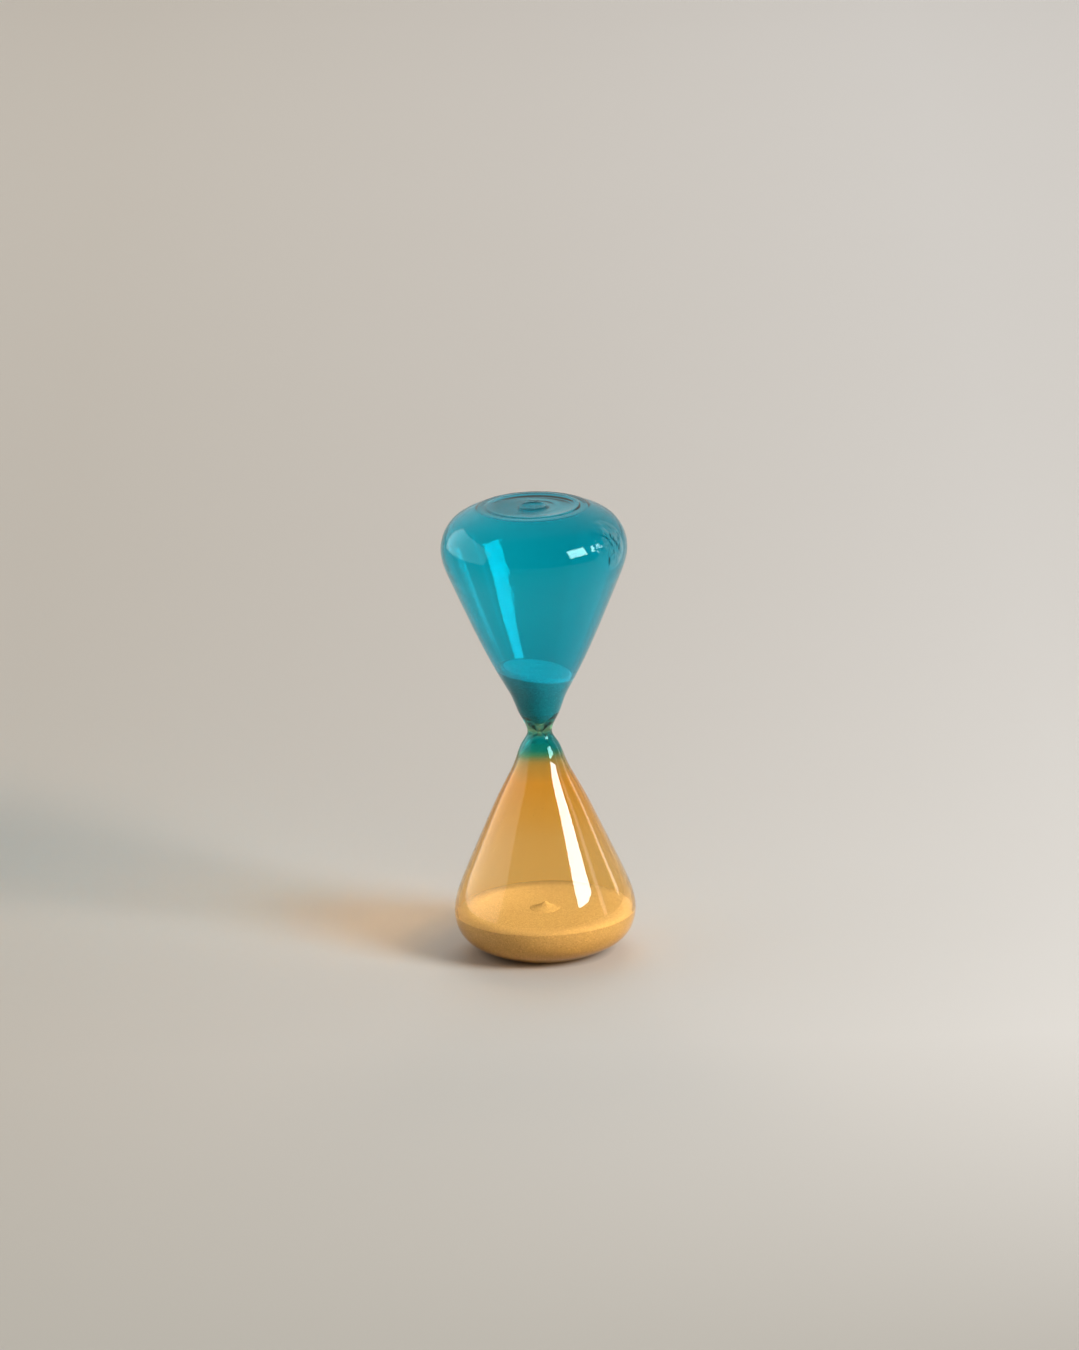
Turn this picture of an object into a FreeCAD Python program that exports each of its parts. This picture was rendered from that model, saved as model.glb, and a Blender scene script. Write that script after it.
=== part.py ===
import FreeCAD, Part
import math
import os

# Hourglass: two blown glass bulbs fused at a thick throat, closed by two end seals, with running sand.
# Units are millimetres, +Z is up, and the origin is on the axis at the middle of the face it stands on.

# --- whole glass ---
HEIGHT = 150.0            # base ring to top ring
WAIST_Z = 74.0            # height of the narrowest point
WAIST_R = 4.0             # outside radius of the waist
WALL = 1.0                # wall of the blown bulbs
RIM_R = 13.5              # outside radius of each end seal
RIM_T = 2.6               # length of the cylindrical rim that holds a seal
RING_OUT_R = 15.0         # outer edge of the flat ring round each seal

# --- throat ---
ORIFICE_R = 0.55          # hole the sand runs through
ORIFICE_LEN = 1.2         # straight part of the hole
THROAT_TOP = 82.0         # cut between throat and upper bulb
THROAT_BOTTOM = 66.0      # cut between throat and lower bulb
UPPER_FUNNEL = (5.0, 4.9, 0.12)  # radius, height and swell of the bowl above the hole
LOWER_FUNNEL = (3.4, 3.0, 0.45)  # radius, height and swell of the dome below the hole
WALL_RUN = 3.0            # height over which a funnel passes into the even wall

# --- end seals ---
SEAL_T = 0.7              # thickness of a seal
SEAL_RECESS = 0.5         # how far a seal lies below the ring around it
RIPPLES = 3               # rings left by the melted glass
RIPPLE_H = 0.25           # height of those rings
PIP_R = 1.6               # radius of the melted tip in the middle
PIP_H = 0.5               # height of the melted tip above the ripples around it

# --- sand ---
GAP = 0.08                # air between sand and glass
SLIDE_GAP = 0.15          # air between sliding sand and the bed around it
UPPER_LEVEL = 95.2        # height of the upper sand surface on the axis
UPPER_TILT = 7.0          # slope of the upper surface in degrees, higher at -X
CORE_R = 3.0              # radius of the column that sinks
CORE_LEN = 9.0            # length of the column that sinks
CORE_TRAVEL = 5.5         # depth of the pit when the slope reaches the angle of repose
LOWER_LEVEL = 13.5        # height of the lower sand surface
MOUND_R = 5.0             # foot radius of the growing mound
MOUND_PEAK = 2.6          # height of its cone above the lower surface
MOUND_SKIRT = 6.0         # length of the mound below the lower surface
STREAM_R = 0.35           # radius of the falling stream
STREAM_GAP = 0.2          # air between the stream and the bore in the mound

# Outside outlines as (radius, height), from the waist to the end of each bulb.
UPPER_OUTLINE = [
    (WAIST_R, WAIST_Z), (5.2, 77.7), (6.9, 81.1), (8.2, 84.7), (11.7, 91.6), (21.6, 112.3),
    (27.4, 126.0), (30.1, 136.9), (25.5, 145.7), (20.8, 148.3), (RING_OUT_R, HEIGHT),
]
LOWER_OUTLINE = [
    (WAIST_R, WAIST_Z), (5.7, 70.5), (7.3, 67.0), (8.5, 63.6), (12.0, 56.6), (21.6, 36.0),
    (27.5, 22.3), (29.5, 13.0), (26.4, 5.2), (21.2, 1.95), (RING_OUT_R, 0.0),
]


def vec(r, z):
    """A point of an outline in the XZ plane."""
    return FreeCAD.Vector(r, 0.0, z)


def bulb_curve(outline, up):
    """A smooth curve from the vertical tangent at the waist to the flat end."""
    points = [vec(r, z) for r, z in outline]
    lengths = [0.0]
    for here, there in zip(points, points[1:]):
        lengths.append(lengths[-1] + here.distanceToPoint(there))
    curve = Part.BSplineCurve()
    curve.interpolate(Points=points, Parameters=lengths, Scale=False,
                      InitialTangent=FreeCAD.Vector(0, 0, up), FinalTangent=FreeCAD.Vector(-1, 0, 0))
    return curve


def inward(curve, distance, limit_z, up, stations=60):
    """The curve moved towards the axis and the inside of the bulb by a distance."""
    moved = []
    for k in range(stations + 1):
        u = curve.FirstParameter + (curve.LastParameter - curve.FirstParameter) * k / stations
        p = curve.value(u)
        t = curve.tangent(u)[0]
        n = FreeCAD.Vector(-t.z, 0, t.x) * up
        q = p + n * distance
        if (q.z - limit_z) * up > 0:
            moved.append(q)
    return moved


def revolve(edges):
    """A solid of revolution about +Z from a closed outline in the XZ plane."""
    face = Part.Face(Part.Wire(edges))
    return face.revolve(FreeCAD.Vector(0, 0, 0), FreeCAD.Vector(0, 0, 1), 360)


def chain(points):
    """Straight edges through points, closed back to the first one."""
    return Part.makePolygon(points + [points[0]]).Edges


def full_glass(curve, end_z):
    """Everything inside the outside outline, from the waist to the end of one bulb."""
    tip = curve.EndPoint
    edges = [curve.toShape()]
    edges += Part.makePolygon([tip, vec(0, end_z), vec(0, WAIST_Z), curve.StartPoint]).Edges
    return revolve(edges)


def hollow(curve, up, extra):
    """The space inside one bulb, made smaller all round by extra for the sand."""
    funnel_r, funnel_h, swell = UPPER_FUNNEL if up > 0 else LOWER_FUNNEL
    mouth_z = WAIST_Z + up * (ORIFICE_LEN / 2)
    funnel_z = mouth_z + up * funnel_h
    end_z = (HEIGHT if up > 0 else 0.0) - up * (SEAL_RECESS + SEAL_T + extra)
    mouth = vec(ORIFICE_R - extra, mouth_z)
    shoulder = vec(funnel_r - extra, funnel_z)
    along = shoulder - mouth
    across = FreeCAD.Vector(along.z * up, 0, -along.x * up).normalize()
    middle = mouth + along * 0.5 + across * swell
    wall = inward(curve, WALL + extra, funnel_z + up * WALL_RUN, up)
    wall = [p for p in wall if (end_z - p.z) * up > 0.1]
    side = Part.BSplineCurve()
    side.interpolate(Points=[shoulder] + wall)
    edges = [side.toShape(), Part.Arc(mouth, middle, shoulder).toShape()]
    edges += Part.makePolygon([
        wall[-1], vec(wall[-1].x - 0.3, end_z), vec(0, end_z), vec(0, mouth_z), mouth]).Edges
    return revolve(Part.sortEdges(edges)[0])


def slab(z0, z1, radius=60.0):
    """A wide disc between two heights, used to cut bodies apart."""
    return Part.makeCylinder(radius, z1 - z0, FreeCAD.Vector(0, 0, z0))


def make_throat(outer, inner_up, inner_low):
    """The thick fused glass at the waist with its funnels and the orifice."""
    body = outer.common(slab(THROAT_BOTTOM, THROAT_TOP))
    bottom = WAIST_Z - ORIFICE_LEN / 2 - 0.1
    hole = Part.makeCylinder(ORIFICE_R, ORIFICE_LEN + 0.2, FreeCAD.Vector(0, 0, bottom))
    return body.cut(inner_up).cut(inner_low).cut(hole)


def make_bulb(outer, inner, up):
    """One blown bulb: the outside less the inside, less the seat of its end seal."""
    if up > 0:
        part = outer.common(slab(THROAT_TOP, HEIGHT + 1))
        seat = Part.makeCylinder(RIM_R, RIM_T + 1, FreeCAD.Vector(0, 0, HEIGHT - RIM_T))
    else:
        part = outer.common(slab(-1, THROAT_BOTTOM))
        seat = Part.makeCylinder(RIM_R, RIM_T + 1, FreeCAD.Vector(0, 0, -1))
    return part.cut(inner).cut(seat)


def make_seal():
    """A closing disc lying on z = 0, its rippled outside face up, with a melted tip in the middle."""
    valley = SEAL_T - RIPPLE_H
    step = (RIM_R - PIP_R) / RIPPLES
    rings = [vec(RIM_R, SEAL_T)]
    for k in range(RIPPLES):
        rings.append(vec(RIM_R - (k + 0.5) * step, valley))
        rings.append(vec(RIM_R - (k + 1.0) * step, SEAL_T if k < RIPPLES - 1 else valley))
    ripples = Part.BSplineCurve()
    ripples.interpolate(Points=rings)
    ball = (PIP_R ** 2 + PIP_H ** 2) / (2 * PIP_H)
    half = math.asin(PIP_R / ball) / 2
    top = valley + PIP_H
    tip = Part.Arc(rings[-1], vec(ball * math.sin(half), top - ball * (1 - math.cos(half))), vec(0, top))
    edges = [ripples.toShape(), tip.toShape()]
    edges += Part.makePolygon([vec(0, top), vec(0, 0), vec(RIM_R, 0), vec(RIM_R, SEAL_T)]).Edges
    return revolve(edges)


def tilted_half_space(level, tilt):
    """A big block whose underside is the sand surface, tilted about Y through the axis."""
    block = Part.makeBox(160, 160, 120, FreeCAD.Vector(-80, -80, 0))
    block.rotate(FreeCAD.Vector(0, 0, 0), FreeCAD.Vector(0, 1, 0), tilt)
    block.translate(FreeCAD.Vector(0, 0, level))
    return block


def make_upper_sand(space):
    """The bed in the upper bulb with the pit its core sinks into, and the core."""
    above = tilted_half_space(UPPER_LEVEL, UPPER_TILT)
    filled = space.cut(above)
    pit_bottom = UPPER_LEVEL - CORE_LEN - CORE_TRAVEL
    pit = Part.makeCylinder(CORE_R + SLIDE_GAP, 40, FreeCAD.Vector(0, 0, pit_bottom))
    column = Part.makeCylinder(CORE_R, 40, FreeCAD.Vector(0, 0, UPPER_LEVEL - CORE_LEN))
    return filled.cut(pit), column.cut(above)


def make_lower_sand(space):
    """The bed in the lower bulb with the well of the mound."""
    filled = space.common(slab(-1, LOWER_LEVEL))
    well_bottom = LOWER_LEVEL - MOUND_SKIRT - SLIDE_GAP
    well = Part.makeCylinder(MOUND_R + SLIDE_GAP, 20, FreeCAD.Vector(0, 0, well_bottom))
    return filled.cut(well)


def make_mound():
    """The growing mound: a cone on a cylinder, bored for the stream."""
    foot = LOWER_LEVEL - MOUND_SKIRT
    bore = STREAM_R + STREAM_GAP
    peak = LOWER_LEVEL + MOUND_PEAK
    profile = [vec(bore, foot), vec(MOUND_R, foot), vec(MOUND_R, LOWER_LEVEL), vec(bore, peak)]
    return revolve(chain(profile))


def make_stream():
    """The thread of falling sand from the orifice down into the mound."""
    top = WAIST_Z + ORIFICE_LEN / 2 - GAP
    bottom = LOWER_LEVEL - 3.0
    return Part.makeCylinder(STREAM_R, top - bottom, FreeCAD.Vector(0, 0, bottom))


def save(name, shape):
    """One STEP file per node."""
    if not shape.isValid():
        raise ValueError(name + " is not a valid solid")
    if len(shape.Solids) == 1:
        shape = shape.Solids[0]
    shape.exportStep(os.path.join("parts", name + ".step"))
    box = shape.BoundBox
    print(name, "solids", len(shape.Solids), "volume", round(shape.Volume, 1),
          "z", round(box.ZMin, 2), round(box.ZMax, 2), "x", round(box.XMin, 2), round(box.XMax, 2))


def main():
    os.makedirs("parts", exist_ok=True)
    upper = bulb_curve(UPPER_OUTLINE, 1)
    lower = bulb_curve(LOWER_OUTLINE, -1)
    outer_up = full_glass(upper, HEIGHT)
    outer_low = full_glass(lower, 0.0)
    outer = outer_up.fuse(outer_low)
    space_up = hollow(upper, 1, 0.0)
    space_low = hollow(lower, -1, 0.0)

    save("neck", make_throat(outer, space_up, space_low))
    save("upper_bulb", make_bulb(outer_up, space_up, 1))
    save("lower_bulb", make_bulb(outer_low, space_low, -1))

    seal = make_seal()
    top_seal = seal.copy()
    top_seal.translate(FreeCAD.Vector(0, 0, HEIGHT - SEAL_RECESS - SEAL_T))
    base_seal = seal.copy()
    base_seal.rotate(FreeCAD.Vector(0, 0, 0), FreeCAD.Vector(1, 0, 0), 180)
    base_seal.translate(FreeCAD.Vector(0, 0, SEAL_RECESS + SEAL_T))
    save("upper_end_seal", top_seal)
    save("lower_end_seal", base_seal)

    bed, core = make_upper_sand(hollow(upper, 1, GAP))
    save("sand_upper", bed)
    save("sand_upper_core", core)
    save("sand_lower", make_lower_sand(hollow(lower, -1, GAP)))
    save("sand_lower_mound", make_mound())
    save("sand_stream", make_stream())


main()
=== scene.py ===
# %% [markdown]
# # A blown glass hourglass
# Two glass bulbs, one teal and one amber, melt into each other at a thick throat. There is no wooden frame:
# the whole object is one sealed piece of glass with pale sand running inside.
# The imported CAD model is loaded first. It is the fixed frame: the walls, the levels of the sand and the
# places of the moving parts are read from it. Only the finish of the surface, such as the ripples of the end
# discs and the place of a colour, is listed in the script.

# %% Load the frame
import math
import random

import bmesh
import bpy
from mathutils import Matrix, Vector
from mathutils.bvhtree import BVHTree


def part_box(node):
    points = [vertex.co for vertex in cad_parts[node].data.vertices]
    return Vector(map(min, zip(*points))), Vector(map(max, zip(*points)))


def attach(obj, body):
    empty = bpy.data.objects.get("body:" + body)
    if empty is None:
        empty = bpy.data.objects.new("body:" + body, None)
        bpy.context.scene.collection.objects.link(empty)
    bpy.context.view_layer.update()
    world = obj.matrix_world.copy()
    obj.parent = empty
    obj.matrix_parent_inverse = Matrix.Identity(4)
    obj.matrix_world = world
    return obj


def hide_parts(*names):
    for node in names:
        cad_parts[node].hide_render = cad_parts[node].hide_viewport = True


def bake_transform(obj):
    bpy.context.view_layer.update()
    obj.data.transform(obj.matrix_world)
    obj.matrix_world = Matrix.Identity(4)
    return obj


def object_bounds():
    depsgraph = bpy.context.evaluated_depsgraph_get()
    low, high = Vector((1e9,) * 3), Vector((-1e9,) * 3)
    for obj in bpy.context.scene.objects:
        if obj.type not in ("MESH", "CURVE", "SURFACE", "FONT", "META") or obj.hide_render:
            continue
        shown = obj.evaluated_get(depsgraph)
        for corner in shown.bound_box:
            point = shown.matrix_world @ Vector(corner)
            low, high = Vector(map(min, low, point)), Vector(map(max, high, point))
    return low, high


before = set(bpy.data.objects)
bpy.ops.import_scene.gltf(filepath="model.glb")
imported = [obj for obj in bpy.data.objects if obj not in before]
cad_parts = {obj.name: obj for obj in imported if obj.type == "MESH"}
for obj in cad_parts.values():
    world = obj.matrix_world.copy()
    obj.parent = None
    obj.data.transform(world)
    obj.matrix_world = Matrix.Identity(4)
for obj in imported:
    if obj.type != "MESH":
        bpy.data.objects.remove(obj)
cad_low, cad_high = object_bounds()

MM = 0.001
print("nodes:", sorted(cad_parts))

# %% [markdown]
# ## Feeling the CAD walls
# The glass needs a much smoother skin than the CAD triangles give, because a clear material bends light at
# every small facet. One could smooth the CAD mesh, but its triangles are long and thin. Instead we only
# *measure* it: a ray comes in from the side at a given height. The first wall it meets is the outside
# radius, the next one the inside radius. A few such stations carry the whole outline.

# %% A ray that measures the walls
THROAT_LOW, THROAT_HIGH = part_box("neck")
RING_TOP = cad_high.z
RING_BASE = cad_low.z
CAP_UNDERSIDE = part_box("upper_end_seal")[0].z
FLOOR_OF_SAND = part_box("lower_end_seal")[1].z


def feeler(nodes):
    """One search tree over the triangles of several CAD nodes."""
    corners, faces = [], []
    for node in nodes:
        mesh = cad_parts[node].data
        start = len(corners)
        corners += [v.co.copy() for v in mesh.vertices]
        faces += [[start + i for i in p.vertices] for p in mesh.polygons]
    return BVHTree.FromPolygons(corners, faces)


GLASS_WALLS = feeler(["upper_bulb", "neck", "lower_bulb"])


def radii(z):
    """Outside and inside radius of the glass at a height."""
    inwards = Vector((-1, 0, 0))
    outside = GLASS_WALLS.ray_cast(Vector((0.1, 2e-6, z)), inwards)[0]
    inside = GLASS_WALLS.ray_cast(outside + inwards * 0.02 * MM, inwards)[0]
    return outside.x, inside.x


def stations(z0, z1, count):
    """Heights from z0 to z1, closer together near both ends, where an outline turns most."""
    return [z0 + (z1 - z0) * (1 - math.cos(math.pi * k / count)) / 2 for k in range(count + 1)]


print("widest outside radius, mm:", round(max(radii(z)[0] for z in stations(0.12, 0.149, 30)) / MM, 2))

# %% [markdown]
# ## A smooth line, spun into a body
# Glass on a burner is always turning, so every glass part is a body of revolution. The Spin operator does
# the same thing: it turns a line about an axis. The line itself is a Bezier curve with automatic handles,
# which runs smoothly through a handful of points, and Blender samples it for us.

# %% Smooth lines and spinning
TURNS = 144               # steps of a full turn
SAME_POINT = 0.5e-6       # corners closer than this are one corner


def smooth_line(points, between=4):
    """Points sampled along a Bezier curve that passes through all the given (radius, height) points."""
    curve = bpy.data.curves.new("outline", "CURVE")
    curve.dimensions = "3D"
    curve.resolution_u = between
    spline = curve.splines.new("BEZIER")
    spline.bezier_points.add(len(points) - 1)
    for knot, (r, z) in zip(spline.bezier_points, points):
        knot.co = (r, 0, z)
        knot.handle_left_type = knot.handle_right_type = "AUTO"
    holder = bpy.data.objects.new("outline", curve)
    mesh = bpy.data.meshes.new_from_object(holder)
    line = [v.co.copy() for v in mesh.vertices]
    bpy.data.objects.remove(holder)
    bpy.data.curves.remove(curve)
    bpy.data.meshes.remove(mesh)
    return line


def spin_line(bm, line, turns=TURNS):
    """Turns a line a full circle about the axis."""
    dots = [bm.verts.new(p) for p in line]
    edges = [bm.edges.new(pair) for pair in zip(dots, dots[1:])]
    bmesh.ops.spin(bm, geom=dots + edges, cent=(0, 0, 0), axis=(0, 0, 1), angle=math.tau,
                   steps=turns, use_merge=True)


def spin_shell(bm, line, turns=TURNS):
    """Spins a line that starts and ends on the axis into a closed shell, and gives its faces."""
    before = set(bm.faces)
    spin_line(bm, line, turns)
    skin = [f for f in bm.faces if f not in before]
    corners = list({v for f in skin for v in f.verts})
    bmesh.ops.remove_doubles(bm, verts=corners, dist=SAME_POINT)
    skin = [f for f in bm.faces if f not in before]
    bmesh.ops.recalc_face_normals(bm, faces=skin)
    return skin


def finish_piece(name, bm, materials, body, replaced=(), smooth=True):
    """Turns a bmesh into a named piece that rides on a body and stands for CAD nodes."""
    mesh = bpy.data.meshes.new(name)
    bm.to_mesh(mesh)
    bm.free()
    for face in mesh.polygons:
        face.use_smooth = smooth
    piece = bpy.data.objects.new(name, mesh)
    bpy.context.scene.collection.objects.link(piece)
    for material in materials:
        mesh.materials.append(material)
    if body:
        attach(piece, body)
    if replaced:
        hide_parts(*replaced)
    print(name, "faces:", len(mesh.polygons))
    return piece


# %% [markdown]
# ## Shader maths in plain Python
# Node trees are easier to read as formulas. `Wire` wraps one socket and overloads + - * and /, so that an
# expression adds the Math nodes by itself. Every other node comes from `Net.node`, and three short names
# stand for the nodes that are needed most: one axis of a place, a soft noise, and an even fade.

# %% The shader helper
class Wire:
    """One output socket that can be used in a sum."""

    def __init__(self, net, socket):
        self.net, self.socket = net, socket

    def _math(self, operation, first, second):
        return self.net.node("ShaderNodeMath", {"operation": operation}, {0: first, 1: second})

    def __add__(self, other):
        return self._math("ADD", self, other)

    def __sub__(self, other):
        return self._math("SUBTRACT", self, other)

    def __rsub__(self, other):
        return self._math("SUBTRACT", other, self)

    def __mul__(self, other):
        return self._math("MULTIPLY", self, other)

    def __truediv__(self, other):
        return self._math("DIVIDE", self, other)

    def __rtruediv__(self, other):
        return self._math("DIVIDE", other, self)

    __radd__, __rmul__ = __add__, __mul__


class Net:
    """The node tree of a material, a light or a world."""

    def __init__(self, owner):
        owner.use_nodes = True
        self.tree = owner.node_tree
        self.tree.nodes.clear()

    def node(self, kind, settings=None, sockets=None, out=0):
        made = self.tree.nodes.new(kind)
        for name, value in (settings or {}).items():
            if name == "stops":
                self.set_stops(made.color_ramp, value)
            else:
                setattr(made, name, value)
        for key, value in (sockets or {}).items():
            if isinstance(value, Wire):
                self.tree.links.new(value.socket, made.inputs[key])
            else:
                made.inputs[key].default_value = value
        return Wire(self, made.outputs[out]) if len(made.outputs) else None

    def axis(self, place, which):
        """X, Y or Z of a place, for 0, 1 or 2."""
        return self.node("ShaderNodeSeparateXYZ", sockets={0: place}, out=which)

    def noise(self, place, scale, detail):
        return self.node("ShaderNodeTexNoise", sockets={"Vector": place, "Scale": scale, "Detail": detail})

    def fade(self, value, low, high, first, last):
        """Runs evenly from first to last while the value runs from low to high, and stays there."""
        return self.node("ShaderNodeMapRange", sockets={0: value, 1: low, 2: high, 3: first, 4: last})

    @staticmethod
    def set_stops(ramp, stops):
        while len(ramp.elements) < len(stops):
            ramp.elements.new(1.0)
        for element, (place, colour) in zip(ramp.elements, stops):
            element.position = place
            element.color = (*colour, 1)


print("shader helper ready:", Wire.__name__, Net.__name__)

# %% [markdown]
# ## The glass
# Coloured glass takes a little light out of every ray that passes. Volume Absorption would be the exact
# way, but it is slow and noisy in thin walls. So the tint lies as a coat on the outer surface, where the
# Principled shader with full transmission colours each pass, and the inside of the wall stays clear. The
# renderer takes the square root of the colour at each face, so the listed colours are squared.
#
# The colour follows the height: amber below, a short olive and green stretch where the two glasses melted
# together, teal above. A noise bends the border, because molten glass never meets in a straight line. The
# teal is also painted darker towards one side, +X: painted shade that holds back the window's light and
# reflections on that side.
#
# The outer surface also carries the relief: long soft waves, a patch of tight ripples on one shoulder, and
# fine pits like dust on the top disc. Specular Tint turns the mirror image down, most of all on the inside,
# where a second image of every lamp would show.
#
# Light from lamps would not get through real refraction in a reasonable time. So for shadow rays only the
# glass turns into a plain tinted Transparent shader, a pane. A pane has one colour, so the teal part and the
# amber part are two materials with the same coat, and the clear inside is a third.

# %% The glass materials
GLASS_IOR = 1.47
COAT = [                  # height as a share of the whole, and the tint there
    (0.000, (1.00, 0.68, 0.22)),
    (0.030, (1.00, 0.71, 0.27)),
    (0.070, (1.00, 0.75, 0.36)),
    (0.200, (1.00, 0.77, 0.41)),
    (0.330, (1.00, 0.685, 0.24)),
    (0.393, (1.00, 0.655, 0.20)),
    (0.416, (0.84, 0.64, 0.28)),
    (0.436, (0.68, 0.62, 0.34)),
    (0.450, (0.14, 0.60, 0.50)),
    (0.460, (0.03, 0.59, 0.60)),
    (0.484, (0.03, 0.59, 0.60)),
    (0.494, (0.42, 0.62, 0.44)),
    (0.506, (0.36, 0.56, 0.42)),
    (0.520, (0.04, 0.44, 0.44)),
    # painted shade: from here to 0.625 the teal is deeper over the upper sand, which darkens the front of the
    # sand
    (0.532, (0.01, 0.53, 0.58)),
    (0.590, (0.01, 0.57, 0.66)),
    (0.625, (0.01, 0.68, 0.82)),
    (0.800, (0.01, 0.76, 0.90)),
    (1.000, (0.01, 0.74, 0.88)),
]
MELT_Z = 66.0 * MM        # border between the teal and the amber pane
BORDER_WANDER = 0.02      # how far the noise bends the border, as a share of the height
SHADE_START_X, SHADE_END_X = -12 * MM, 26 * MM          # painted shade darkens the teal between these places across
WAVY_SPOT = (24.5 * MM, -16.0 * MM, 141 * MM)
WAVY_FADE = (4 * MM, 9 * MM)                # distances over which the ripples die out
WAVY_HEIGHT = 20
DUSTY_SPOT = (-6 * MM, -2 * MM, 150 * MM)
DUSTY_FADE = (6 * MM, 13 * MM)              # distances over which the pits die out
DUSTY_HEIGHT = 5.0
RELIEF = 0.07 * MM        # height of the long soft waves


def coat_colour(net, place, tint, side_shade):
    """The tint at a height, with painted shade that darkens it towards +X."""
    wander = net.noise(place, 90.0, 3.0)
    share = net.axis(place, 2) / RING_TOP + (wander - 0.5) * BORDER_WANDER
    stops = [(at, tuple(c ** 2 for c in colour)) for at, colour in tint]
    colour = net.node("ShaderNodeValToRGB", {"stops": stops}, {0: share})
    # painted shade: the tint is darkened towards +X, down to the factor given for the far side
    depth = net.fade(net.axis(place, 0), SHADE_START_X, SHADE_END_X, 1.0, side_shade)
    return net.node("ShaderNodeVectorMath", {"operation": "SCALE"}, {0: colour, "Scale": depth})


def near(net, place, spot, reach):
    """One at a spot, fading to nothing over a stretch of distances from it."""
    away = net.node("ShaderNodeVectorMath", {"operation": "DISTANCE"}, {0: place, 1: spot}, 1)
    return net.fade(away, *reach, 1.0, 0.0)


def glass_relief(net, place):
    """Soft waves everywhere, tight ripples at the wavy spot, pits at the dusty one."""
    wave = net.noise(place, 28.0, 1.0)
    ripple = net.noise(place, 260.0, 2.0) * near(net, place, WAVY_SPOT, WAVY_FADE)
    pits = net.noise(place, 2200.0, 1.0) * near(net, place, DUSTY_SPOT, DUSTY_FADE)
    height = wave + ripple * WAVY_HEIGHT + pits * DUSTY_HEIGHT
    return net.node("ShaderNodeBump", sockets={"Strength": 1.0, "Distance": RELIEF, "Height": height})


def clear_glass(name, tint, pane_tint, gloss, side_shade=1.0):
    """Glass that takes its tint at the surface; lamps see it as a plain tinted pane."""
    made = bpy.data.materials.new(name)
    net = Net(made)
    sockets = {"Base Color": (1, 1, 1, 1), "Roughness": 0.0, "IOR": GLASS_IOR, "Transmission Weight": 1.0,
               "Specular Tint": (*gloss, 1)}
    if tint:
        place = net.node("ShaderNodeTexCoord", out=3)
        sockets["Base Color"] = coat_colour(net, place, tint, side_shade)
        sockets["Normal"] = glass_relief(net, place)
    glass = net.node("ShaderNodeBsdfPrincipled", sockets=sockets)
    pane = net.node("ShaderNodeBsdfTransparent", sockets={"Color": (*pane_tint, 1)})
    for_lamps = net.node("ShaderNodeLightPath", out=1)
    both = net.node("ShaderNodeMixShader", sockets={0: for_lamps, 1: glass, 2: pane})
    net.node("ShaderNodeOutputMaterial", sockets={"Surface": both})
    return made


GLASSES = [
    # painted shade: 0.70 darkens the teal towards +X
    clear_glass("teal_coat", COAT, (0.02, 0.58, 0.74), (0.30, 0.62, 0.62), 0.70),
    clear_glass("amber_coat", COAT, (0.86, 0.64, 0.36), (0.85, 0.85, 0.85)),
    clear_glass("clear_inside", None, (0.92, 0.92, 0.92), (0.18, 0.18, 0.18)),
]
print("glass materials:", [g.name for g in GLASSES])

# %% [markdown]
# ## The glass body
# Outside and inside are two closed shells, spun from two lines. The outside starts in the middle of the top
# disc, crosses the small raised ring left by the melted closure, climbs the wide ring, and follows the bulbs
# down to the ring it stands on. Each end disc is a short list of radii and depths below its ring. The inside
# follows the walls through both funnels and the orifice. The inner shell is turned inside out, so that the
# glass lies between the two and all normals point away from it.

# %% Build the glass body
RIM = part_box("upper_end_seal")[1].x
WAIST_Z = (THROAT_LOW.z + THROAT_HIGH.z) / 2
BASE_DISC = [             # radius and height against the ring, in millimetres
    (0.0, -0.30), (0.9, -0.42), (1.9, -0.80), (4.6, -0.60), (7.6, -0.65), (11.0, -0.65), (12.9, -0.60),
    (13.5, -0.20), (14.0, -0.04),
]
TOP_DISC = [
    (0.0, -0.52), (1.4, -0.58), (2.8, -0.54), (3.8, -0.14), (4.4, -0.08), (5.1, -0.54), (6.2, -0.62),
    (7.8, -0.52), (9.6, -0.52), (11.2, -0.42), (12.6, -0.26), (13.8, -0.08), (14.6, -0.01), (15.0, -0.08),
    (15.4, -0.28), (15.9, -0.33), (16.5, -0.34),
]
LIP_DROP = 0.42 * MM      # the measured outline takes over this far below the top ring
BASE_LIFT = 0.03 * MM     # and this far above the base ring
CORNER = 0.15 * MM        # the inside wall stops this far from the flat lid and floor
WALL_STATIONS = 26
FLAT_SHARES = (0.0, 0.3, 0.6, 0.85)         # of the seal's radius, for the flat lid and floor


def end_line(disc, ring_z, up):
    """The line over one closed end, from the axis to the ring, in metres."""
    return [(r * MM, ring_z + up * h * MM) for r, h in disc]


def outside_line():
    top = [(radii(z)[0], z) for z in stations(RING_TOP - LIP_DROP, WAIST_Z, WALL_STATIONS)]
    base = [(radii(z)[0], z) for z in stations(WAIST_Z, RING_BASE + BASE_LIFT, WALL_STATIONS)]
    return end_line(TOP_DISC, RING_TOP, 1) + top + base[1:] + end_line(BASE_DISC, RING_BASE, -1)[::-1]


def inside_line():
    top = [(radii(z)[1], z) for z in stations(CAP_UNDERSIDE - CORNER, WAIST_Z, WALL_STATIONS)]
    base = [(radii(z)[1], z) for z in stations(WAIST_Z, FLOOR_OF_SAND + CORNER, WALL_STATIONS)]
    lid = [(f * RIM, CAP_UNDERSIDE) for f in FLAT_SHARES]
    floor = [(f * RIM, FLOOR_OF_SAND) for f in FLAT_SHARES[::-1]]
    return lid + top + base[1:] + floor


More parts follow.
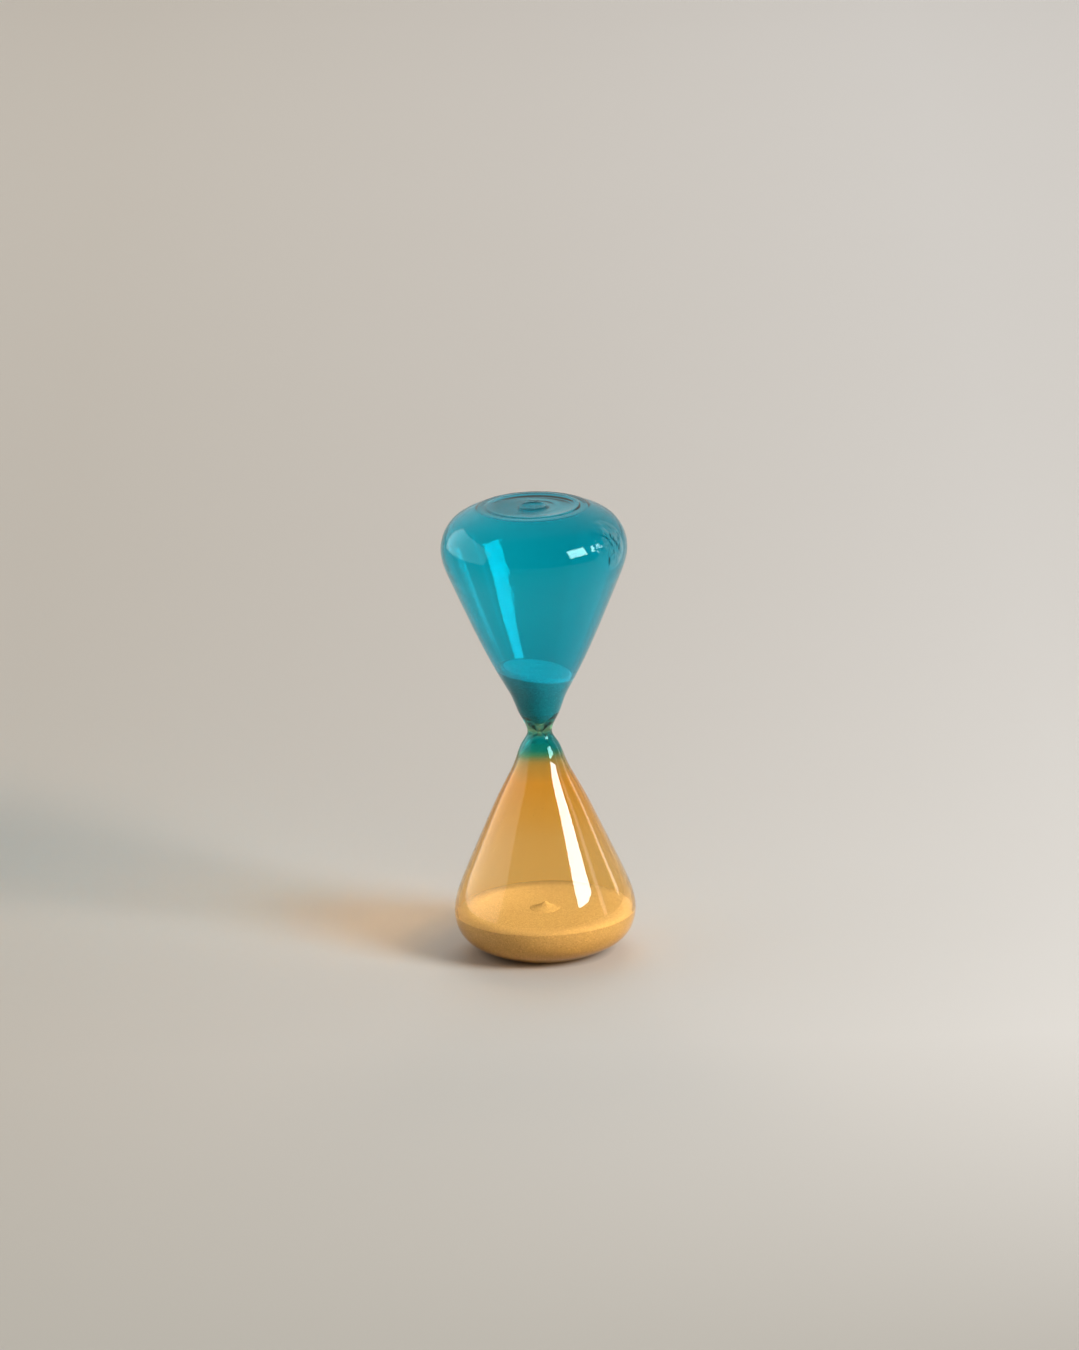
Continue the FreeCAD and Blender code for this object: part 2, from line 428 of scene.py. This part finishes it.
def build_glass():
    bm = bmesh.new()
    spin_shell(bm, smooth_line(outside_line()))
    inner = spin_shell(bm, smooth_line(inside_line()))
    bmesh.ops.reverse_faces(bm, faces=inner)
    inner = set(inner)
    for face in bm.faces:
        amber = face.calc_center_median().z < MELT_Z
        face.material_index = 2 if face in inner else int(amber)
    return finish_piece("glass_body", bm, GLASSES, "glass",
                        ["upper_bulb", "neck", "lower_bulb", "upper_end_seal", "lower_end_seal"])


build_glass()

# %% [markdown]
# ## Sand
# Fine sand is a heap of pale grains of slightly different colours. Modelling each grain would take millions
# of faces. A Voronoi texture gives one random colour per cell and a rounded height for each grain, which is
# all that the eye sees at this distance. A broader noise adds the soft unevenness of a poured surface.

# %% The sand material
GRAIN = 0.24 * MM
GRAIN_RELIEF = 0.10 * MM
GRAIN_TINTS = [
    (0.00, (0.42, 0.37, 0.31)), (0.10, (0.53, 0.49, 0.44)), (0.45, (0.57, 0.54, 0.49)),
    (0.80, (0.60, 0.57, 0.53)), (1.00, (0.75, 0.73, 0.69)),
]


def sand_material(name, solid_share=1.0):
    """Pale grains; a solid share below one leaves holes between them."""
    made = bpy.data.materials.new(name)
    net = Net(made)
    place = net.node("ShaderNodeTexCoord", out=3)
    cell = {"Vector": place, "Scale": 1 / GRAIN}
    colour_of_grain = net.node("ShaderNodeTexVoronoi", sockets=cell, out=1)
    dome_of_grain = net.node("ShaderNodeTexVoronoi", sockets=cell, out=0)
    lot = net.node("ShaderNodeSeparateColor", sockets={0: colour_of_grain})
    tint = net.node("ShaderNodeValToRGB", {"stops": GRAIN_TINTS}, {0: lot})
    height = (1 - dome_of_grain) * 0.7 + net.noise(place, 260.0, 3.0) * 0.8
    relief = net.node("ShaderNodeBump", sockets={
        "Strength": 0.35, "Distance": GRAIN_RELIEF, "Height": height})
    sockets = {"Base Color": tint, "Roughness": 0.92, "Specular IOR Level": 0.25, "Normal": relief}
    if solid_share < 1:
        gaps = net.noise(place, 1400.0, 2.0)
        sockets["Alpha"] = net.node("ShaderNodeMath", {"operation": "GREATER_THAN"},
                                    {0: gaps, 1: 1 - solid_share})
    grains = net.node("ShaderNodeBsdfPrincipled", sockets=sockets)
    net.node("ShaderNodeOutputMaterial", sockets={"Surface": grains})
    return made


SAND = sand_material("pale_sand")
FALLING_SAND = sand_material("falling_sand", 0.28)
print("sand materials:", SAND.name, FALLING_SAND.name)

# %% [markdown]
# ## The sand beds
# The sand takes the shape of the bulb it lies in, so its outline is the inside line of the glass. Packed
# grains touch the wall, and a thin layer of air between the two would mirror like silver. So the sand goes a
# hair into the wall. Only in the narrow bowl above the orifice does it hang free: there the air does mirror,
# and gives the dark V of the throat.
#
# The upper surface is cut by a tilted plane: the glass was set down by hand and the sand ran a little to one
# side. Bisect makes that cut. The rim of the bed is then rounded down by a millimetre.
#
# When the sand runs, a pit opens over the orifice. So the upper bed is built in two: a bowl that never
# moves, and a skin on top of it. The skin has a very shallow dip.

# %% Build the upper bed
AIR = 0.12 * MM           # between the sand and the bowl above the orifice
PRESSED_IN = 0.15 * MM    # how far packed sand goes into the wall
CONTACT_Z = 80.5 * MM     # above this height the upper sand is packed against the wall
BED_STATIONS = 22
UPPER_LOW, UPPER_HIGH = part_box("sand_upper")
CORE_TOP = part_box("sand_upper_core")[1]
TILT = math.atan2(UPPER_HIGH.z - CORE_TOP.z, UPPER_HIGH.x - CORE_TOP.x)
UP_SLOPE = Vector((math.sin(TILT), 0, math.cos(TILT)))
UPPER_CENTRE = Vector((0, 0, CORE_TOP.z - CORE_TOP.x * math.tan(TILT)))
print("upper sand: centre, mm:", round(UPPER_CENTRE.z / MM, 2))
print("upper sand: tilt, degrees:", round(math.degrees(TILT), 2))


def bed_radius(z):
    """Where packed sand touches the glass it goes a hair into the wall; in the narrow bowl it hangs free."""
    free = THROAT_LOW.z < z < CONTACT_Z
    return radii(z)[1] + (-AIR if free else PRESSED_IN)


def bed_line(z0, z1):
    """The outline of sand that fills a bulb from z0 to z1, starting on the axis."""
    return [(0.0, z0)] + [(bed_radius(z), z) for z in stations(z0, z1, BED_STATIONS)]


def cut_bed(z0, z1, centre, normal):
    """Spun sand up to z1, cut off by a plane; gives the bmesh and the edges of the open rim."""
    bm = bmesh.new()
    spin_line(bm, smooth_line(bed_line(z0, z1)))
    bmesh.ops.remove_doubles(bm, verts=bm.verts, dist=SAME_POINT)
    bmesh.ops.bisect_plane(bm, geom=list(bm.verts) + list(bm.edges) + list(bm.faces), dist=1e-7,
                           plane_co=centre, plane_no=normal, clear_outer=True)
    return bm, [e for e in bm.edges if len(e.link_faces) == 1]


def extrude_ring(bm, ring):
    """Extrudes a ring of edges in place; gives the new corners and the new ring."""
    made = bmesh.ops.extrude_edge_only(bm, edges=ring)["geom"]
    dots = [g for g in made if isinstance(g, bmesh.types.BMVert)]
    return dots, [g for g in made if isinstance(g, bmesh.types.BMEdge)]


def close_ring(bm, ring, centre):
    """Closes a ring with one point in the middle."""
    dots, _ = extrude_ring(bm, ring)
    bmesh.ops.pointmerge(bm, verts=dots, merge_co=centre)


# %% [markdown]
# ## The bowl and its skin
# Both are drawn in ring by ring from the cut rim, as a potter closes a bowl. Each new ring is the last one
# extruded, scaled towards the middle of the surface, and let down at right angles to the slope.

# %% Draw in the bowl and the skin
SKIN = 0.06 * MM          # thickness of the skin
DIP = 0.5 * MM            # depth of the skin's dip at rest
SKIN_RINGS = 12
PIT_SHARE = 0.84          # radius of the pit as a share of the surface
ROUND_DROP = 1.0 * MM     # how far the rim of the bed is rounded down
ROUNDING = [(0.985, 0.72), (0.965, 0.45), (0.94, 0.22), (0.90, 0.06), (PIT_SHARE, 0.0)]
BOWL = [(PIT_SHARE - 0.001, 1.5 * SKIN), (PIT_SHARE - 0.03, 0.6 * MM), (0.42, 7 * MM)]
BOWL_DEPTH = 9.5 * MM
CUT_ROOM = 2 * MM         # sand is spun this far past the plane that cuts it


def draw_in(bm, ring, share, depth, before):
    """Extrudes a ring and places it at a share of the full radius and a depth below the surface."""
    dots, ring = extrude_ring(bm, ring)
    last_share, last_depth = before
    bmesh.ops.translate(bm, verts=dots, vec=UP_SLOPE * last_depth)
    bmesh.ops.scale(bm, verts=dots, vec=(share / last_share,) * 3, space=Matrix.Translation(-UPPER_CENTRE))
    bmesh.ops.translate(bm, verts=dots, vec=-UP_SLOPE * depth)
    return ring


def build_upper_bed():
    low = UPPER_CENTRE - UP_SLOPE * ROUND_DROP
    bm, ring = cut_bed(UPPER_LOW.z, UPPER_HIGH.z + CUT_ROOM, low, UP_SLOPE)
    before = (1.0, ROUND_DROP)
    for share, depth in [(s, d * ROUND_DROP) for s, d in ROUNDING] + BOWL:
        ring = draw_in(bm, ring, share, depth, before)
        before = (share, depth)
    close_ring(bm, ring, UPPER_CENTRE - Vector((0, 0, BOWL_DEPTH)))
    bmesh.ops.recalc_face_normals(bm, faces=bm.faces)
    return finish_piece("sand_upper_bed", bm, [SAND], "glass", ["sand_upper"])


def build_upper_skin():
    """A thin round sheet with a shallow dip: top and underside are drawn in from one ring each."""
    bm, outer = cut_bed(UPPER_CENTRE.z - 6 * MM, UPPER_HIGH.z + CUT_ROOM, UPPER_CENTRE, UP_SLOPE)
    keep = {v for e in outer for v in e.verts}
    bmesh.ops.delete(bm, geom=[v for v in bm.verts if v not in keep], context="VERTS")
    bmesh.ops.scale(bm, verts=bm.verts, vec=(PIT_SHARE,) * 3, space=Matrix.Translation(-UPPER_CENTRE))
    top = list(bm.edges)
    dots, under = extrude_ring(bm, top)
    bmesh.ops.translate(bm, verts=dots, vec=-UP_SLOPE * SKIN)
    for ring, below in ((top, 0.0), (under, SKIN)):
        before = (1.0, below)
        for k in range(1, SKIN_RINGS):
            share, depth = 1 - k / SKIN_RINGS, DIP * k / SKIN_RINGS + below
            ring = draw_in(bm, ring, share, depth, before)
            before = (share, depth)
        close_ring(bm, ring, UPPER_CENTRE - UP_SLOPE * (DIP + below))
    bmesh.ops.recalc_face_normals(bm, faces=bm.faces)
    piece = finish_piece("sand_upper_skin", bm, [SAND], None, ["sand_upper_core"])
    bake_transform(piece)
    return piece


build_upper_bed()
build_upper_skin()

# %% [markdown]
# ## The lower sand
# Below, the sand has levelled into a nearly flat bed with a small heap where the stream lands. The heap is
# its own piece.

# %% Build the lower bed and the mound
LOWER_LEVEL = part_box("sand_lower")[1].z
LOWER_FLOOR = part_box("sand_lower")[0].z
MOUND_FOOT_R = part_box("sand_lower_mound")[1].x
MOUND_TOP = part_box("sand_lower_mound")[1].z
RISE = MOUND_TOP - LOWER_LEVEL
MOUND_BURIED = 1.0 * MM   # how far the mound reaches below the level of the bed
MOUND_RINGS = 10


def build_lower_bed():
    level = Vector((0, 0, LOWER_LEVEL))
    bm, ring = cut_bed(LOWER_FLOOR, LOWER_LEVEL + CUT_ROOM, level, Vector((0, 0, 1)))
    for _ in range(9):
        dots, ring = extrude_ring(bm, ring)
        bmesh.ops.scale(bm, verts=dots, vec=(0.80,) * 3, space=Matrix.Translation(-level))
    close_ring(bm, ring, level)
    bmesh.ops.recalc_face_normals(bm, faces=bm.faces)
    return finish_piece("sand_lower_bed", bm, [SAND], "glass", ["sand_lower"])


def build_mound():
    """A cone whose foot runs out flat, closed below the level of the bed."""
    line = [(0.0, LOWER_LEVEL - MOUND_BURIED), (MOUND_FOOT_R, LOWER_LEVEL - MOUND_BURIED)]
    for k in range(MOUND_RINGS + 1):
        share = 1 - k / MOUND_RINGS
        height = RISE * (1 - share) ** 1.5
        line.append((MOUND_FOOT_R * share, LOWER_LEVEL + height))
    bm = bmesh.new()
    spin_shell(bm, [Vector((r, 0, z)) for r, z in line], TURNS // 2)
    piece = finish_piece("sand_mound", bm, [SAND], None, ["sand_lower_mound"])
    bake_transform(piece)
    return piece


build_lower_bed()
build_mound()

# %% [markdown]
# ## The falling stream
# The grains leave the orifice as a thread and spread a little as they fall faster. A narrow cone gives the
# thread, a small sideways wander keeps it from looking like a wire, and holes in its alpha let the light
# through between the grains.

# %% Build the stream
STREAM_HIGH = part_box("sand_stream")[1]
STREAM_R = STREAM_HIGH.x
THREAD_CUTS = 80          # rings along the thread
WANDER_STEPS = 200        # steps of the sideways wander


def wander_steps(rng):
    """A slow random walk sideways, which always leans back to the axis."""
    walk = [0.0]
    for _ in range(WANDER_STEPS):
        walk.append(0.85 * walk[-1] + rng.uniform(-0.03, 0.03) * MM)
    return walk


def build_stream():
    bm = bmesh.new()
    bottom = MOUND_TOP - 0.3 * MM
    length = STREAM_HIGH.z - bottom
    bmesh.ops.create_cone(bm, cap_ends=True, segments=10, radius1=STREAM_R * 0.8, radius2=STREAM_R * 0.5,
                          depth=length, matrix=Matrix.Translation((0, 0, bottom + length / 2)))
    sides = [e for e in bm.edges if abs(e.verts[0].co.z - e.verts[1].co.z) > length / 2]
    bmesh.ops.subdivide_edges(bm, edges=sides, cuts=THREAD_CUTS)
    walk = wander_steps(random.Random(5))
    last = WANDER_STEPS - 1
    for dot in bm.verts:
        step = int((STREAM_HIGH.z - dot.co.z) / length * last)
        swell = 1 + 0.25 * math.sin(step * 1.7) * step / WANDER_STEPS
        dot.co.x = dot.co.x * swell * 0.9 + walk[step] * 0.5
        dot.co.y = dot.co.y * swell * 0.9 + walk[last - step] * 0.5
    return finish_piece("sand_thread", bm, [FALLING_SAND], "glass", ["sand_stream"])


build_stream()

# %% [markdown]
# ## Grains that cling to the glass
# Sand rubs dust off itself, and single grains stick to the inside of the wall. Each is a tiny icosphere with
# only twenty faces, laid against the wall at a random height and angle with a fixed seed.

# %% Scatter the clinging grains
def scatter(name, count, z0, z1, size, seed):
    """Single grains on the inside of the wall, more of them near z0."""
    rng = random.Random(seed)
    bm = bmesh.new()
    for _ in range(count):
        z = z0 + (z1 - z0) * rng.random() ** 1.6
        turn = rng.uniform(0, math.tau)
        big = size * rng.uniform(0.5, 1.2)
        r = radii(z)[1] - big * 0.9
        place = Matrix.Translation((r * math.cos(turn), r * math.sin(turn), z))
        bmesh.ops.create_icosphere(bm, subdivisions=1, radius=big, matrix=place)
    return finish_piece(name, bm, [SAND], "glass", smooth=False)


scatter("grains_lower", 620, LOWER_LEVEL + 0.5 * MM, 56 * MM, 0.11 * MM, 3)
scatter("grains_upper", 90, UPPER_HIGH.z + 1 * MM, 136 * MM, 0.08 * MM, 4)

# %% [markdown]
# ## The stage
# A plain pale floor reaches behind the object, past the edge of the view, so that no horizon shows. It is a
# board with a faint mottle of its own; the rest of the change in its colour is painted light and shade. In
# front it is painted darker towards the window, which would burn it out. Behind it is painted lighter on that
# side and with distance, as light falls on the ground of a room with one window. A painted contact shadow, a
# small darker ring, lies under the foot, where large soft lamps alone leave the contact too pale.

# %% Floor
SIDE = 0.18               # the painted light and shade change between this far left and right, in metres
FRONT_Y, BACK_Y = -0.45, -0.10              # and from the front paint and shade to the back paint and light
FRONT_PAINT_AND_SHADE = [(0.0, (0.61, 0.59, 0.54)), (0.5, (0.54, 0.52, 0.475)), (1.0, (0.435, 0.415, 0.38))]
BACK_PAINT_AND_LIGHT = [(0.0, (0.735, 0.69, 0.625)), (0.5, (0.775, 0.74, 0.695)), (1.0, (0.84, 0.82, 0.795))]
FAR_Y, FAR_PAINTED_LIGHT = 1.6, 1.18                 # painted light: the back is this much lighter this far away
CONTACT_SHADOW_RADII = (16 * MM, 23 * MM)              # the painted contact shadow under the foot fades out over these radii
# painted contact shadow: right under the foot the floor colour is multiplied by this
CONTACT_SHADOW_FACTOR = 0.22
FLOOR_HALF = 4.0


def floor_material():
    made = bpy.data.materials.new("board_with_painted_light")
    net = Net(made)
    place = net.node("ShaderNodeTexCoord", out=3)
    along = net.axis(place, 1)
    aside = net.fade(net.axis(place, 0), -SIDE, SIDE, 0.0, 1.0)
    aside = aside + (net.noise(place, 9.0, 4.0) - 0.5) * 0.06
    # painted shade in front and painted light behind, both changing across
    front = net.node("ShaderNodeValToRGB", {"stops": FRONT_PAINT_AND_SHADE}, {0: aside})
    back = net.node("ShaderNodeValToRGB", {"stops": BACK_PAINT_AND_LIGHT}, {0: aside})
    behind = net.fade(along, FRONT_Y, BACK_Y, 0.0, 1.0)
    tint = net.node("ShaderNodeMix", {"data_type": "RGBA"}, {0: behind, 6: front, 7: back}, 2)
    # painted light: lighter with distance behind
    far = net.fade(along, 0.0, FAR_Y, 1.0, FAR_PAINTED_LIGHT)
    from_foot = net.node("ShaderNodeVectorMath", {"operation": "LENGTH"}, {0: place}, 1)
    # painted contact shadow: a darker ring under the foot
    under = net.fade(from_foot, *CONTACT_SHADOW_RADII, CONTACT_SHADOW_FACTOR, 1.0)
    tint = net.node("ShaderNodeVectorMath", {"operation": "SCALE"}, {0: tint, "Scale": far * under})
    paint = net.node("ShaderNodeBsdfPrincipled", sockets={
        "Base Color": tint, "Roughness": 0.95, "Specular IOR Level": 0.1})
    net.node("ShaderNodeOutputMaterial", sockets={"Surface": paint})
    return made


def build_floor():
    bm = bmesh.new()
    bmesh.ops.create_grid(bm, x_segments=1, y_segments=1, size=FLOOR_HALF)
    mesh = bpy.data.meshes.new("floor")
    bm.to_mesh(mesh)
    bm.free()
    mesh.materials.append(floor_material())
    made = bpy.data.objects.new("floor", mesh)
    bpy.context.scene.collection.objects.link(made)
    made.location.z = RING_BASE
    print("floor:", 2 * FLOOR_HALF, "m wide")


build_floor()

# %% [markdown]
# ## Light
# A clear body shows the room more than itself, so half of the lamps are there only to be mirrored. The window
# stands in front at the right: it draws the long white streak down the lower bulb, and, mirrored in the far
# wall of the upper bulb, the bright teal one. A broad dim panel at the left makes the soft veil on that side.
# A narrow side window and a strip further back give the thin streaks at the right.
#
# The others light the sand and the floor and are never mirrored: a twin of the window just behind it, a soft
# lamp high at the back, and a low fill in front. With the two jobs kept apart, a brighter streak adds little
# to the light on the sand.
#
# The room around is pale, and darker on the side of the viewer and at the ceiling, so that the colour of the
# glass stays deep.

# %% Lamps and surroundings
MIDDLE = Vector((0, 0, 0.085))


def towards(azimuth, elevation, distance):
    """A place seen from the object at an angle right of the viewer and above the floor, in degrees."""
    a, e = math.radians(azimuth), math.radians(elevation)
    flat = math.cos(e)
    return MIDDLE + Vector((math.sin(a) * flat, -math.cos(a) * flat, math.sin(e))) * distance


def area_lamp(name, azimuth, elevation, distance, width, height, radiance, colour, mirrored):
    """A rectangle of even light that faces the object, either to be mirrored or to light things."""
    data = bpy.data.lights.new(name, "AREA")
    data.shape = "RECTANGLE"
    data.size, data.size_y = width, height
    data.energy = radiance * math.pi * width * height
    data.color = colour
    lamp = bpy.data.objects.new(name, data)
    lamp.location = towards(azimuth, elevation, distance)
    lamp.rotation_euler = (lamp.location - MIDDLE).to_track_quat("Z", "Y").to_euler()
    lamp.visible_diffuse = not mirrored
    lamp.visible_glossy = lamp.visible_transmission = mirrored
    bpy.context.scene.collection.objects.link(lamp)
    print("lamp", name, "at", [round(c, 2) for c in lamp.location])


# name, azimuth, elevation, distance, width, height, radiance, colour, mirrored
LAMPS = [
    ("window", 58, 26.5, 1.6, 0.66, 0.54, 27.0, (1.0, 0.98, 0.96), True),
    ("window_glow", 57, 25.5, 1.61, 0.62, 0.54, 22.5, (1.0, 0.98, 0.94), False),
    ("panel", -101, 15, 1.6, 2.5, 1.45, 1.4, (1.0, 0.97, 0.93), True),
    ("back_soft", 180, 41, 1.98, 1.4, 0.8, 2.5, (1.0, 0.98, 0.96), False),
    ("front_fill", 5, 5, 1.9, 1.2, 0.7, 1.3, (1.0, 0.97, 0.93), False),
    ("side_window", 82, 12, 1.6, 0.16, 0.80, 2.4, (1.0, 0.98, 0.96), True),
    ("strip", 116, 13, 1.6, 0.14, 0.60, 4.0, (1.0, 0.98, 0.95), True),
]
for row in LAMPS:
    area_lamp(*row)

# %% [markdown]
# ## The room
# Behind the lamps the world is a smooth grey room. A ramp on the direction gives the walls, from dark on the
# side of the viewer to pale behind the object, and a fade on the height darkens the ceiling.

# %% The room
WALLS = [
    (0.12, (0.05, 0.05, 0.05)), (0.34, (0.18, 0.17, 0.16)), (0.46, (0.27, 0.26, 0.25)),
    (0.56, (0.54, 0.52, 0.49)), (1.00, (0.64, 0.61, 0.57)),
]


def pale_room():
    world = bpy.data.worlds.new("pale_room")
    bpy.context.scene.world = world
    net = Net(world)
    direction = net.node("ShaderNodeTexCoord", out=0)
    round_the_room = net.axis(direction, 1) * 0.42 - net.axis(direction, 0) * 0.20 + 0.5
    walls = net.node("ShaderNodeValToRGB", {"stops": WALLS}, {0: round_the_room})
    ceiling = net.fade(net.axis(direction, 2), 0.45, 0.85, 1.0, 0.45)
    shade = net.node("ShaderNodeVectorMath", {"operation": "SCALE"}, {0: walls, "Scale": ceiling})
    sky = net.node("ShaderNodeBackground", sockets={"Color": shade, "Strength": 1.0})
    net.node("ShaderNodeOutputWorld", sockets={"Surface": sky})
    print("room:", world.name)


pale_room()

# %% [markdown]
# ## The camera
# The object is seen from far away through a long lens, seventeen degrees above the floor, and the camera is
# held almost two degrees out of level.

# %% Camera
LENS = 249.8              # focal length in millimetres
CAMERA_PLACE = (0.5 * MM, -2.9, 0.9689)
DOWN = 16.81              # degrees below level
OUT_OF_LEVEL = -1.8       # degrees


def set_camera():
    data = bpy.data.cameras.new("camera")
    data.lens = LENS
    data.clip_end = 50
    camera = bpy.data.objects.new("camera", data)
    pitch = Matrix.Rotation(math.radians(90 - DOWN), 4, "X")
    roll = Matrix.Rotation(math.radians(OUT_OF_LEVEL), 4, "Z")
    camera.matrix_world = Matrix.Translation(CAMERA_PLACE) @ pitch @ roll
    bpy.context.scene.collection.objects.link(camera)
    bpy.context.scene.camera = camera
    print("camera: lens", LENS, "mm,", DOWN, "degrees down")


set_camera()
bpy.context.scene.view_settings.view_transform = "Standard"
